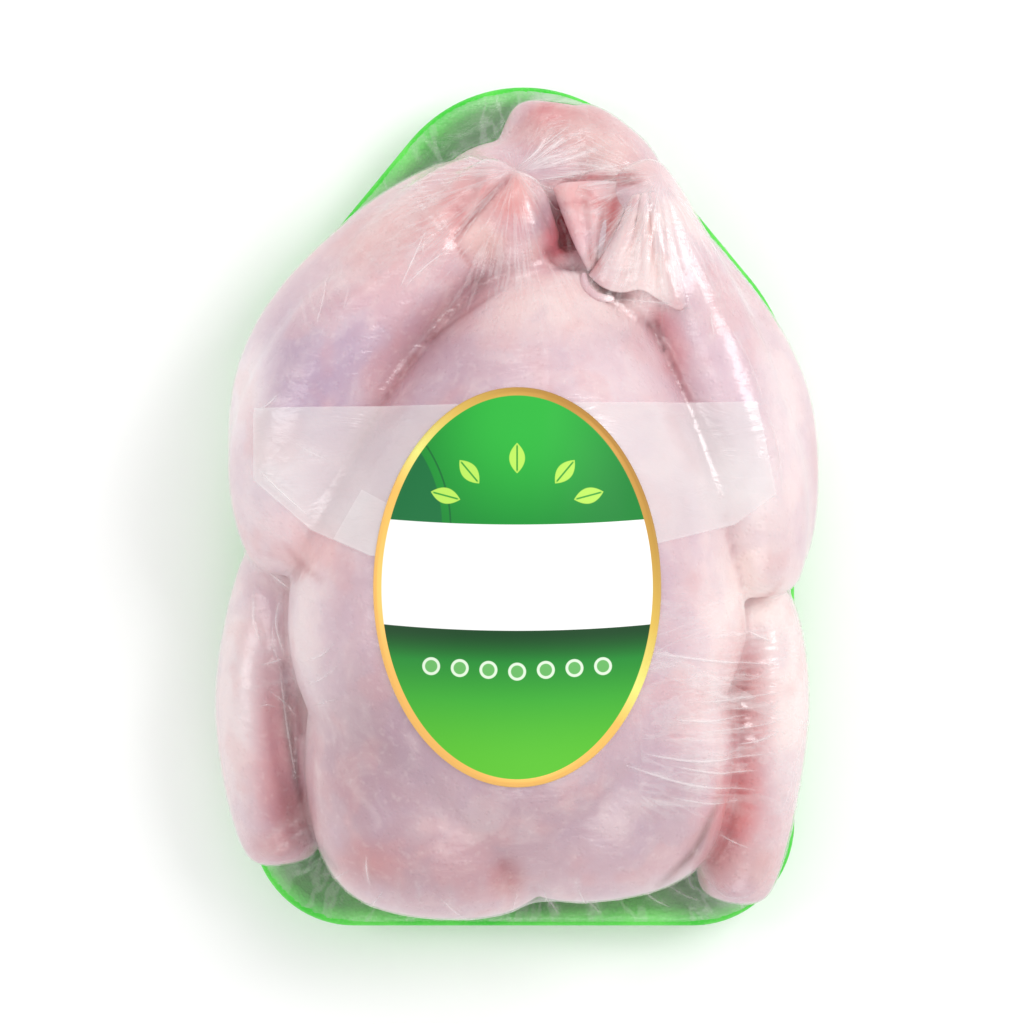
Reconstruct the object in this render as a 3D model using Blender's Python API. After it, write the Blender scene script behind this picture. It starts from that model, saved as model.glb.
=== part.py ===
"""A whole raw chicken on a foam tray, sealed in clear film, with an oval label on its breast.

Metres, +Z up. The tray stands on Z = 0, +Y points to the bird's tail and -Y to its neck.
The bird and the film drawn over it are one solid, which fills the tray up to its rim.
"""

import math

import bmesh
import bpy
from mathutils import Vector
from mathutils.bvhtree import BVHTree

# The tray: a rounded bullet in plan, square at the neck end and pointed at the tail end.
TRAY_LENGTH = 0.2604
TRAY_WIDTH = 0.169
TRAY_CENTRE_X = 0.0020
TRAY_SHOULDER_Y = 0.0545
TRAY_APEX_Y = 0.1569
TRAY_CORNER_RADIUS = 0.032
TRAY_SHOULDER_RADIUS = 0.060
TRAY_APEX_RADIUS = 0.046
TRAY_HEIGHT = 0.022
TRAY_FLOOR = 0.0045
GAP = 0.0003

# Inset from the rim's outline and height of each ring of the tray's wall, from its foot round to its floor.
TRAY_OUTSIDE = ((0.0165, 0.0), (0.0145, 0.0008), (0.0030, 0.0165), (0.0002, 0.0180), (0.0, 0.0205))
TRAY_INSIDE = ((0.0012, TRAY_HEIGHT), (0.0050, 0.0214), (0.0080, 0.0170), (0.0165, 0.0064), (0.0200, TRAY_FLOOR))

# The film's skirt fills the tray: inset and height of its rings, from the floor over the rim to its crown.
SKIRT = (
    (0.0300, TRAY_FLOOR),
    (0.0060, 0.0085),
    (0.0024, 0.0190),
    (0.0024, 0.0225),
    (0.0045, 0.0258),
    (0.0090, 0.0285),
    (0.0160, 0.0305),
    (0.0320, 0.0330),
)

# The bird's masses. Each station is x, y, z of the middle, then half the width across and half the height.
# The roundness says how blunt the ends are: 2 is an egg, and more is a sausage.
TORSO = (
    (0.010, 0.084, 0.040, 0.028, 0.026),
    (0.010, 0.052, 0.047, 0.040, 0.043),
    (0.006, 0.010, 0.053, 0.059, 0.053),
    (0.000, -0.034, 0.055, 0.070, 0.054),
    (0.000, -0.074, 0.053, 0.063, 0.052),
    (0.000, -0.114, 0.047, 0.050, 0.040),
)
BREAST_LEFT = (
    (-0.012, 0.000, 0.050, 0.030, 0.036),
    (-0.020, -0.062, 0.050, 0.043, 0.043),
    (-0.024, -0.124, 0.044, 0.042, 0.037),
)
BREAST_RIGHT = (
    (0.018, 0.000, 0.050, 0.030, 0.036),
    (0.022, -0.060, 0.050, 0.042, 0.043),
    (0.030, -0.118, 0.044, 0.040, 0.037),
)
RUMP = (
    (0.006, 0.112, 0.028, 0.024, 0.016),
    (0.004, 0.080, 0.032, 0.040, 0.026),
    (0.002, 0.010, 0.034, 0.064, 0.030),
)
TAIL = (
    (0.009, 0.090, 0.031, 0.022, 0.018),
    (0.014, 0.124, 0.032, 0.015, 0.012),
)
THIGH_LEFT = (
    (-0.010, 0.102, 0.034, 0.014, 0.018),
    (-0.038, 0.074, 0.037, 0.020, 0.026),
    (-0.060, 0.036, 0.041, 0.0265, 0.030),
    (-0.060, -0.020, 0.043, 0.030, 0.030),
)
THIGH_RIGHT = (
    (0.030, 0.092, 0.034, 0.014, 0.018),
    (0.049, 0.066, 0.037, 0.019, 0.026),
    (0.064, 0.028, 0.041, 0.0265, 0.030),
    (0.066, -0.026, 0.043, 0.030, 0.030),
)
DRUMSTICK_LEFT = (
    (-0.063, -0.020, 0.050, 0.022, 0.022),
    (-0.064, 0.016, 0.054, 0.0235, 0.026),
    (-0.052, 0.046, 0.059, 0.021, 0.024),
    (-0.031, 0.069, 0.063, 0.0155, 0.017),
    (-0.001, 0.101, 0.068, 0.012, 0.012),
)
DRUMSTICK_RIGHT = (
    (0.073, -0.026, 0.050, 0.017, 0.020),
    (0.071, 0.010, 0.057, 0.0165, 0.023),
    (0.061, 0.044, 0.062, 0.0145, 0.020),
    (0.048, 0.074, 0.065, 0.012, 0.014),
    (0.035, 0.103, 0.068, 0.0105, 0.011),
)
WING_LEFT = (
    (-0.070, -0.010, 0.034, 0.014, 0.016),
    (-0.078, -0.060, 0.034, 0.0145, 0.018),
    (-0.071, -0.109, 0.029, 0.014, 0.016),
)
WING_RIGHT = (
    (0.072, -0.024, 0.036, 0.013, 0.017),
    (0.075, -0.064, 0.034, 0.0145, 0.018),
    (0.066, -0.121, 0.029, 0.014, 0.016),
)
SHANK_SKIN_LEFT = (
    (-0.018, 0.078, 0.058, 0.012, 0.016),
    (0.009, 0.077, 0.064, 0.008, 0.012),
)
SKIN_FLAP = (
    (0.026, 0.099, 0.050, 0.012, 0.012),
    (0.026, 0.084, 0.060, 0.011, 0.010),
    (0.024, 0.069, 0.066, 0.006, 0.010),
)
SHANK_SKIN_RIGHT = (
    (0.038, 0.088, 0.060, 0.010, 0.014),
    (0.040, 0.056, 0.070, 0.010, 0.012),
)
MASSES = (
    (TORSO, 2.6),
    (BREAST_LEFT, 2.6),
    (BREAST_RIGHT, 2.6),
    (RUMP, 3.0),
    (TAIL, 4.0),
    (THIGH_LEFT, 3.0),
    (THIGH_RIGHT, 3.0),
    (DRUMSTICK_LEFT, 4.0),
    (DRUMSTICK_RIGHT, 4.0),
    (WING_LEFT, 4.0),
    (WING_RIGHT, 4.0),
    (SHANK_SKIN_LEFT, 2.6),
    (SKIN_FLAP, 2.6),
    (SHANK_SKIN_RIGHT, 2.6),
)
MASS_RINGS = 26
MASS_SIDES = 28

# How the masses are fused: the size of the cells, the passes that soften them, and the triangles that are kept.
CELL = 0.0016
SOFTEN_PASSES = 14
BIRD_TRIANGLES = 8200

# How far the film bridges the hollows: rounds of drawing it tight, and the passes of each.
TIGHTEN_ROUNDS = 10
TIGHTEN_PASSES = 12

# The label: an upright oval, bent over the breast.
LABEL_CENTRE = (0.0, -0.0237)
LABEL_HALF_WIDTH = 0.0426
LABEL_HALF_LENGTH = 0.0592
LABEL_THICKNESS = 0.0008
LABEL_GAP = 0.0005
LABEL_RINGS = 11
LABEL_SPOKES = 48


def clear_scene():
    for obj in list(bpy.data.objects):
        bpy.data.objects.remove(obj, do_unlink=True)


def material(name, colour, roughness):
    made = bpy.data.materials.new(name)
    made.use_nodes = True
    shader = made.node_tree.nodes["Principled BSDF"]
    shader.inputs["Base Color"].default_value = (*colour, 1.0)
    shader.inputs["Roughness"].default_value = roughness
    shader.inputs["Metallic"].default_value = 0.0
    return made


def mesh_object(name, points, faces):
    mesh = bpy.data.meshes.new(name)
    mesh.from_pydata(points, [], faces)
    made = bpy.data.objects.new(name, mesh)
    bpy.context.scene.collection.objects.link(made)
    return made


def bridged(rings):
    """Points and faces of a closed skin over rings of equal length, with a face over each end."""
    sides = len(rings[0])
    points = [point for ring in rings for point in ring]
    faces = [tuple(reversed(range(sides)))]
    for row in range(len(rings) - 1):
        for side in range(sides):
            after = (side + 1) % sides
            here = row * sides
            faces.append((here + side, here + after, here + sides + after, here + sides + side))
    faces.append(tuple((len(rings) - 1) * sides + side for side in range(sides)))
    return points, faces


def on_curve(stations, share):
    """The station at this share of the way along, on a smooth curve through all of them."""
    place = share * (len(stations) - 1)
    index = min(int(place), len(stations) - 2)
    t = place - index
    before, start = stations[max(index - 1, 0)], stations[index]
    end, after = stations[index + 1], stations[min(index + 2, len(stations) - 1)]
    return [
        0.5 * (2 * b + (c - a) * t + (2 * a - 5 * b + 4 * c - d) * t**2 + (3 * b - a - 3 * c + d) * t**3)
        for a, b, c, d in zip(before, start, end, after)
    ]


def mass(name, stations, roundness):
    """A fleshy mass: ovals along a smooth curve, which shrink to a rounded end at both ends."""
    rings = []
    for row in range(MASS_RINGS):
        angle = math.pi * (row + 0.5) / MASS_RINGS
        share = 0.5 - 0.5 * math.cos(angle)
        swell = (1 - abs(2 * share - 1) ** roundness) ** (1 / roundness)
        x, y, z, across, up = on_curve(stations, share)
        ahead = on_curve(stations, min(share + 0.01, 1.0))
        behind = on_curve(stations, max(share - 0.01, 0.0))
        along = (Vector(ahead[:3]) - Vector(behind[:3])).normalized()
        side = along.cross(Vector((0, 0, 1))).normalized()
        top = side.cross(along)
        middle = Vector((x, y, z))
        rings.append([
            middle
            + side * (across * swell * math.cos(turn))
            + top * (up * swell * math.sin(turn))
            for turn in (2 * math.pi * step / MASS_SIDES for step in range(MASS_SIDES))
        ])
    return mesh_object(name, *bridged(rings))


def rounded_outline(corners, step):
    """A closed outline through corners given as (x, y, radius), each rounded by an arc in points a step apart."""
    outline = []
    for index, (x, y, radius) in enumerate(corners):
        corner = Vector((x, y))
        before = Vector(corners[index - 1][:2])
        after = Vector(corners[(index + 1) % len(corners)][:2])
        to_before, to_after = (before - corner).normalized(), (after - corner).normalized()
        half = to_before.angle(to_after) / 2
        centre = corner + (to_before + to_after).normalized() * (radius / math.sin(half))
        start = corner + to_before * (radius / math.tan(half)) - centre
        sweep = math.pi - 2 * half
        count = max(2, round(radius * sweep / step))
        for number in range(count + 1):
            turn = sweep * number / count
            cosine, sine = math.cos(turn), math.sin(turn)
            outline.append(centre + Vector((start.x * cosine - start.y * sine, start.x * sine + start.y * cosine)))
    return outline


def tray_outline(step):
    half = TRAY_WIDTH / 2
    foot = -TRAY_LENGTH / 2
    corners = (
        (TRAY_CENTRE_X - half, foot, TRAY_CORNER_RADIUS),
        (TRAY_CENTRE_X + half, foot, TRAY_CORNER_RADIUS),
        (TRAY_CENTRE_X + half, TRAY_SHOULDER_Y, TRAY_SHOULDER_RADIUS),
        (TRAY_CENTRE_X, TRAY_APEX_Y, TRAY_APEX_RADIUS),
        (TRAY_CENTRE_X - half, TRAY_SHOULDER_Y, TRAY_SHOULDER_RADIUS),
    )
    return rounded_outline(corners, step)


def inset_ring(outline, inset, height):
    """The outline moved inwards by inset, at this height."""
    count = len(outline)
    ring = []
    for index, point in enumerate(outline):
        along = (outline[(index + 1) % count] - outline[index - 1]).normalized()
        inwards = Vector((-along.y, along.x))
        moved = point + inwards * inset
        ring.append(Vector((moved.x, moved.y, height)))
    return ring


def closed_loft(name, outline, profile):
    """A solid whose rings are the outline at each (inset, height) of the profile."""
    return mesh_object(name, *bridged([inset_ring(outline, inset, height) for inset, height in profile]))


def bake_modifiers(obj):
    """The object's mesh becomes what its modifiers make of it."""
    bpy.context.view_layer.update()
    graph = bpy.context.evaluated_depsgraph_get()
    mesh = bpy.data.meshes.new_from_object(obj.evaluated_get(graph))
    obj.modifiers.clear()
    obj.data = mesh


def finish(obj, made_of, sharp_from=45):
    """Shades the object smooth, but for edges sharper than sharp_from degrees, and gives it its material."""
    obj.data.shade_smooth()
    obj.data.set_sharp_from_angle(angle=math.radians(sharp_from))
    obj.data.materials.append(made_of)


def fused(name, pieces):
    """One closed skin over overlapping pieces, which are then removed."""
    whole = bmesh.new()
    for piece in pieces:
        whole.from_mesh(piece.data)
        bpy.data.objects.remove(piece)
    mesh = bpy.data.meshes.new(name)
    whole.to_mesh(mesh)
    whole.free()
    made = bpy.data.objects.new(name, mesh)
    bpy.context.scene.collection.objects.link(made)
    skin = made.modifiers.new("skin", "REMESH")
    skin.mode = "VOXEL"
    skin.voxel_size = CELL
    soften = made.modifiers.new("soften", "SMOOTH")
    soften.factor = 0.5
    soften.iterations = SOFTEN_PASSES
    bake_modifiers(made)
    return made


def drawn_tight(obj):
    """The film over the fused masses: it is pulled smooth again and again, and stays outside them."""
    flesh = bpy.data.objects.new("flesh", obj.data.copy())
    bpy.context.scene.collection.objects.link(flesh)
    for number in range(TIGHTEN_ROUNDS):
        pull = obj.modifiers.new(f"pull {number}", "SMOOTH")
        pull.factor = 0.5
        pull.iterations = TIGHTEN_PASSES
        rest = obj.modifiers.new(f"rest {number}", "SHRINKWRAP")
        rest.target = flesh
        rest.wrap_method = "NEAREST_SURFACEPOINT"
        rest.wrap_mode = "OUTSIDE"
    bake_modifiers(obj)
    bpy.data.objects.remove(flesh)


def thinned(obj, triangles):
    split = obj.modifiers.new("split", "TRIANGULATE")
    split.quad_method = "SHORTEST_DIAGONAL"
    bake_modifiers(obj)
    thin = obj.modifiers.new("thin", "DECIMATE")
    thin.ratio = triangles / len(obj.data.polygons)
    bake_modifiers(obj)


def make_tray():
    outline = tray_outline(0.006)
    tray = closed_loft("tray", outline, TRAY_OUTSIDE + TRAY_INSIDE)
    finish(tray, material("green foam", (0.10, 0.55, 0.09), 0.55))


def swollen(profile, gap):
    """The points between the profile's two ends, moved off the foam by the gap."""
    moved = []
    for before, here, after in zip(profile, profile[1:], profile[2:]):
        point = Vector(here)
        arriving, leaving = (point - Vector(before)).normalized(), (Vector(after) - point).normalized()
        off = Vector((-arriving.y, arriving.x)) + Vector((-leaving.y, leaving.x))
        moved.append(tuple(point + off * (gap / (1 + arriving.dot(leaving)))))
    return moved


def tray_cutter():
    """The tray swollen by the gap, which hollows the bird's solid where the tray holds it."""
    skin = swollen(TRAY_OUTSIDE + TRAY_INSIDE + ((0.0300, TRAY_FLOOR),), GAP)
    below = [(0.0165, -0.0200), (-0.0200, -0.0200), (-0.0200, 0.0160)]
    cutter = closed_loft("tray_cutter", tray_outline(0.006), below + skin[1:])
    cutter.hide_render = True
    cutter.display_type = "WIRE"
    return cutter


def make_wrapped_chicken():
    pieces = [mass(f"mass_{number}", stations, roundness) for number, (stations, roundness) in enumerate(MASSES)]
    skirt = closed_loft("skirt", tray_outline(0.006), SKIRT)
    bird = fused("wrapped_chicken", [*pieces, skirt])
    drawn_tight(bird)
    thinned(bird, BIRD_TRIANGLES)
    cut = bird.modifiers.new("seat in the tray", "BOOLEAN")
    cut.operation = "DIFFERENCE"
    cut.object = tray_cutter()
    finish(bird, material("skin under film", (0.80, 0.58, 0.60), 0.30), 80)
    return bird


def label_ring(ground, share, lift):
    """A ring of points at this share of the oval's size, dropped onto the film and lifted off it."""
    ring = []
    for spoke in range(LABEL_SPOKES):
        turn = 2 * math.pi * spoke / LABEL_SPOKES
        x = LABEL_CENTRE[0] + LABEL_HALF_WIDTH * share * math.cos(turn)
        y = LABEL_CENTRE[1] + LABEL_HALF_LENGTH * share * math.sin(turn)
        hit = ground.ray_cast(Vector((x, y, 0.2)), Vector((0, 0, -1)))[0]
        ring.append(hit + Vector((0, 0, lift)))
    return ring


def make_label(bird):
    """The oval label, laid on the breast."""
    bpy.context.view_layer.update()
    ground = BVHTree.FromObject(bird, bpy.context.evaluated_depsgraph_get())
    shares = [(ring + 0.4) / (LABEL_RINGS - 0.6) for ring in range(LABEL_RINGS)]
    under = [label_ring(ground, share, LABEL_GAP) for share in shares]
    over = [label_ring(ground, share, LABEL_GAP + LABEL_THICKNESS) for share in reversed(shares)]
    label = mesh_object("label", *bridged(under + over))
    finish(label, material("label print", (0.20, 0.60, 0.20), 0.40))


def main():
    clear_scene()
    make_tray()
    make_label(make_wrapped_chicken())


main()
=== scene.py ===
"""Looks for a whole raw chicken on a foam tray, sealed in clear film, with an oval label.

Metres, +Z up, +Y to the bird's tail. Lists of places on the bird are in millimetres, where they say so.
"""

import math
import random
import bmesh
import bpy
import numpy as np
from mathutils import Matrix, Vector, noise
from mathutils.bvhtree import BVHTree


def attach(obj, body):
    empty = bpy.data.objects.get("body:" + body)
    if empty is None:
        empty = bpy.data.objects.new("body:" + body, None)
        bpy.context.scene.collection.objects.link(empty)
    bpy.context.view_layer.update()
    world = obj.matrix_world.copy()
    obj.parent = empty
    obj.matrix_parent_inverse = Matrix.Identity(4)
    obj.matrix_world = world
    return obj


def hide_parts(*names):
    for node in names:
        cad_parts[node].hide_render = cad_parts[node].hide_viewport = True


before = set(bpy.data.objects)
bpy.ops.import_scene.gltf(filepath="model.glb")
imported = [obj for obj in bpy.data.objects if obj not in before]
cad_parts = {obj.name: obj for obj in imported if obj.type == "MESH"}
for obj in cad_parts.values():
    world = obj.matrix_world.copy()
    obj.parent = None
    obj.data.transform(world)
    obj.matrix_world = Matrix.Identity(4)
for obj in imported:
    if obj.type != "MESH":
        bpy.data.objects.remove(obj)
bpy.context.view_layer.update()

MM = 0.001

# The tray, as the model has it, but for a foot that leaves room for the film under it.
TRAY_LENGTH = 0.2604
TRAY_WIDTH = 0.169
TRAY_CENTRE_X = 0.0020
TRAY_SHOULDER_Y = 0.0545
TRAY_APEX_Y = 0.1569
TRAY_CORNER_RADIUS = 0.032
TRAY_SHOULDER_RADIUS = 0.060
TRAY_APEX_RADIUS = 0.046
TRAY_OUTSIDE = (
    (0.0200, 0.0006),
    (0.0168, 0.0006),
    (0.0150, 0.0012),
    (0.0092, 0.0088),
    (0.0034, 0.0164),
    (0.0014, 0.0179),
    (0.0006, 0.0190),
    (0.0006, 0.0204),
)
TRAY_INSIDE = (
    (0.0014, 0.0215),
    (0.0030, 0.0218),
    (0.0050, 0.0212),
    (0.0064, 0.0195),
    (0.0080, 0.0170),
    (0.0124, 0.0114),
    (0.0165, 0.0062),
    (0.0182, 0.0048),
    (0.0210, 0.0044),
)

# How far above the tray the bird lies, in metres, and how far past the rim that holds, in mm.
TRAY_GAP = 0.0004
RIM_REACH = 1.5

# The bird's masses. Each station is x, y, z of the middle, then half the width across and half the height.
# The roundness says how blunt the ends are: 2 is an egg, and more is a sausage.
TORSO = (
    (0.010, 0.084, 0.040, 0.028, 0.026),
    (0.010, 0.052, 0.047, 0.040, 0.043),
    (0.006, 0.010, 0.053, 0.059, 0.053),
    (0.000, -0.034, 0.055, 0.070, 0.054),
    (0.000, -0.074, 0.053, 0.063, 0.052),
    (0.000, -0.114, 0.047, 0.050, 0.040),
)
BREAST_LEFT = (
    (-0.012, 0.000, 0.050, 0.030, 0.036),
    (-0.020, -0.062, 0.050, 0.043, 0.043),
    (-0.024, -0.124, 0.044, 0.042, 0.037),
)
BREAST_RIGHT = (
    (0.018, 0.000, 0.050, 0.030, 0.036),
    (0.022, -0.060, 0.050, 0.042, 0.043),
    (0.030, -0.118, 0.044, 0.040, 0.037),
)
RUMP = (
    (0.006, 0.112, 0.028, 0.024, 0.016),
    (0.004, 0.080, 0.032, 0.040, 0.026),
    (0.002, 0.010, 0.034, 0.064, 0.030),
)
TAIL = (
    (0.009, 0.090, 0.031, 0.022, 0.018),
    (0.014, 0.124, 0.032, 0.015, 0.012),
)
THIGH_LEFT = (
    (-0.010, 0.102, 0.034, 0.014, 0.018),
    (-0.038, 0.074, 0.037, 0.020, 0.026),
    (-0.060, 0.036, 0.041, 0.0265, 0.030),
    (-0.060, -0.020, 0.043, 0.030, 0.030),
)
THIGH_RIGHT = (
    (0.030, 0.092, 0.034, 0.014, 0.018),
    (0.049, 0.066, 0.037, 0.019, 0.026),
    (0.064, 0.028, 0.041, 0.0265, 0.030),
    (0.066, -0.026, 0.043, 0.030, 0.030),
)
DRUMSTICK_LEFT = (
    (-0.063, -0.020, 0.050, 0.022, 0.022),
    (-0.064, 0.016, 0.054, 0.0235, 0.026),
    (-0.052, 0.046, 0.059, 0.021, 0.024),
    (-0.031, 0.069, 0.063, 0.0155, 0.017),
    (-0.001, 0.101, 0.068, 0.012, 0.012),
)
DRUMSTICK_RIGHT = (
    (0.073, -0.026, 0.050, 0.017, 0.020),
    (0.071, 0.010, 0.057, 0.0165, 0.023),
    (0.061, 0.044, 0.062, 0.0145, 0.020),
    (0.048, 0.074, 0.065, 0.012, 0.014),
    (0.035, 0.103, 0.068, 0.0105, 0.011),
)
WING_LEFT = (
    (-0.070, -0.010, 0.034, 0.014, 0.016),
    (-0.078, -0.060, 0.034, 0.0145, 0.018),
    (-0.071, -0.109, 0.029, 0.014, 0.016),
)
WING_RIGHT = (
    (0.072, -0.024, 0.036, 0.013, 0.017),
    (0.075, -0.064, 0.034, 0.0145, 0.018),
    (0.066, -0.121, 0.029, 0.014, 0.016),
)
SHANK_SKIN_LEFT = (
    (-0.018, 0.078, 0.058, 0.012, 0.016),
    (0.009, 0.077, 0.064, 0.008, 0.012),
)
SKIN_FLAP = (
    (0.026, 0.099, 0.050, 0.012, 0.012),
    (0.026, 0.084, 0.060, 0.011, 0.010),
    (0.024, 0.069, 0.066, 0.006, 0.010),
)
SHANK_SKIN_RIGHT = (
    (0.038, 0.088, 0.060, 0.010, 0.014),
    (0.040, 0.056, 0.070, 0.010, 0.012),
)
LEG_SKIN_LEFT = (
    (-0.007, 0.102, 0.046, 0.011, 0.013),
    (-0.026, 0.086, 0.052, 0.013, 0.017),
    (-0.048, 0.062, 0.054, 0.014, 0.018),
    (-0.067, 0.036, 0.050, 0.013, 0.018),
)
TAIL_SKIN_RIGHT = (
    (0.012, 0.116, 0.031, 0.014, 0.012),
    (0.027, 0.106, 0.034, 0.013, 0.014),
    (0.038, 0.096, 0.042, 0.012, 0.018),
)
LEG_END_LEFT = (
    (-1.2 * MM, 0.1005, 0.0690, 0.0040, 0.0080),
    (-0.5 * MM, 0.0930, 0.0680, 0.0100, 0.0110),
    (-2.0 * MM, 0.0840, 0.0660, 0.0150, 0.0135),
    (-2.5 * MM, 0.0740, 0.0610, 0.0150, 0.0130),
)
MASSES = (
    (TORSO, 2.6),
    (BREAST_LEFT, 2.6),
    (BREAST_RIGHT, 2.6),
    (RUMP, 3.0),
    (TAIL, 4.0),
    (THIGH_LEFT, 3.0),
    (THIGH_RIGHT, 3.0),
    (DRUMSTICK_LEFT, 4.0),
    (DRUMSTICK_RIGHT, 4.0),
    (WING_LEFT, 4.0),
    (WING_RIGHT, 4.0),
    (SHANK_SKIN_LEFT, 2.6),
    (SKIN_FLAP, 2.6),
    (SHANK_SKIN_RIGHT, 2.6),
    (LEG_SKIN_LEFT, 3.0),
    (LEG_END_LEFT, 3.6),
    (TAIL_SKIN_RIGHT, 3.0),
)

SKIN_CELL = 0.0013
FILM_CELL = 0.0019
FILM_STAND_OFF = 0.0005
FILM_FINE_ZONES = (
    (34, 88, -96, -28, 38),
    (40, 84, -92, -32, 44),
    (-30, 56, 50, 112, 40),
    (-80, -50, 30, 82, 40),
    (-84, -56, -60, 6, 36),
)
TIGHTEN_ROUNDS = 10
TIGHTEN_PASSES = 14
# How white the film is: all over, in clouds, at the tray's rim and on its pleats. On the pleats' crests the
# white is partly a painted highlight.
VEIL = 0.025
VEIL_CLOUDS = 0.08
VEIL_RIM = 0.36
PLEAT_WHITE_AND_GLINT = 0.42
# The middle of the opening between the legs, in mm. The film is clearer over it.
OPENING = (14, 84)

LABEL_CENTRE = (0.0, -0.0237)
LABEL_HALF_WIDTH = 0.0426
LABEL_HALF_LENGTH = 0.0592
# The label's print, in mm: its gold ring, the foot and top of its white band, and how far the band bows.
LABEL_RING = 2.7
LABEL_BAND = (-12.5, 18.5)
LABEL_BOW = 0.0011
# Its leaves: x, y and turn. The small rings stand this far apart.
LABEL_LEAVES = ((-14, 34, 40), (14, 34, -40), (0, 38, 0), (-21, 27, 75), (21, 27, -75))
LABEL_RING_STEP = 8.4

# Creases and folds of the skin, in mm: the line seen from above, half its width, and its height.
SKIN_STROKES = (
    (((-1, 101), (-9, 92), (-19, 79.5)), 1.5, -3.0),
    (((-19, 80), (-16, 76), (-13, 73)), 1.2, -0.8),
    (((-12, 103), (-14, 92), (-24, 84)), 2.4, -1.6),
    (((8, 95), (14, 86), (18, 78)), 3.2, -6.0),
    (((10, 76), (15, 74), (20, 73)), 1.8, -4.0),
    (((16, 98), (28, 98.5), (38, 96)), 1.5, -2.2),
    (((24, 70), (28, 65), (38, 61)), 1.6, -1.6),
    (((2, 95), (6, 86), (5, 76)), 2.2, 0.8),
    (((46, 95), (49, 80), (53, 62)), 1.6, 0.9),
    (((50, 92), (54, 78), (60, 62)), 1.6, 0.7),
    (((-5, -104), (-3, -112), (-1, -119)), 2.6, -1.6),
    (((-58, -10), (-66, -20), (-70, -27)), 1.8, -1.6),
    (((-75, -48), (-72, -75), (-66, -98)), 3.4, -1.6),
    (((66, -85), (63, -96), (62, -104)), 3.4, -1.8),
    (((8, 62), (9, 40), (8, 22)), 3.0, 0.7),
)

# Loose sheets of skin round the opening between the legs, in mm: ribs from one edge to the other.
OPENING_FLAP = (
    ((10.8, 96.2, 63.0), (14.2, 86.5, 67.2), (17.6, 78.0, 70.2), (21.4, 70.6, 72.0)),
    ((13.8, 97.6, 64.0), (16.6, 87.5, 69.6), (19.4, 79.0, 71.6), (22.0, 70.9, 72.4)),
    ((18.4, 98.0, 64.5), (20.0, 88.0, 68.8), (21.4, 79.8, 70.8), (22.5, 71.0, 72.5)),
    ((23.0, 98.2, 65.5), (23.2, 88.0, 70.8), (23.2, 80.0, 72.2), (23.0, 71.2, 72.7)),
    ((28.0, 98.0, 67.0), (27.0, 88.0, 68.8), (25.4, 80.0, 70.6), (23.6, 71.6, 72.5)),
    ((35.0, 97.0, 69.0), (32.0, 88.0, 72.6), (28.5, 80.0, 72.8), (24.6, 72.0, 71.8)),
)
RIGHT_SKIN = (
    ((34.4, 93.0, 75.6), (28.4, 80.0, 75.6), (21.4, 69.4, 74.4)),
    ((36.0, 93.4, 79.2), (31.6, 79.5, 79.2), (25.6, 65.6, 77.4)),
    ((37.0, 93.6, 78.2), (34.6, 79.5, 78.0), (31.0, 64.0, 77.8)),
    ((38.0, 93.8, 79.6), (37.4, 80.0, 81.4), (37.0, 64.6, 80.6)),
    ((39.2, 94.0, 78.2), (40.0, 79.5, 79.2), (42.0, 62.0, 79.4)),
    ((40.6, 94.0, 78.6), (43.0, 79.0, 80.8), (48.5, 58.4, 81.4)),
    ((42.4, 93.6, 73.6), (47.2, 79.0, 76.0), (52.0, 62.0, 76.4)),
    ((45.0, 93.0, 66.0), (54.0, 80.0, 67.5), (60.0, 65.0, 68.0)),
)
SKIN_SHEETS = (OPENING_FLAP, RIGHT_SKIN)
SKIN_CURL = (
    (0.0200, 0.0700, 0.0735, 0.0010, 0.0010),
    (0.0205, 0.0660, 0.0760, 0.0014, 0.0013),
    (0.0235, 0.0630, 0.0775, 0.0014, 0.0013),
    (0.0290, 0.0620, 0.0775, 0.0010, 0.0010),
)
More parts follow.
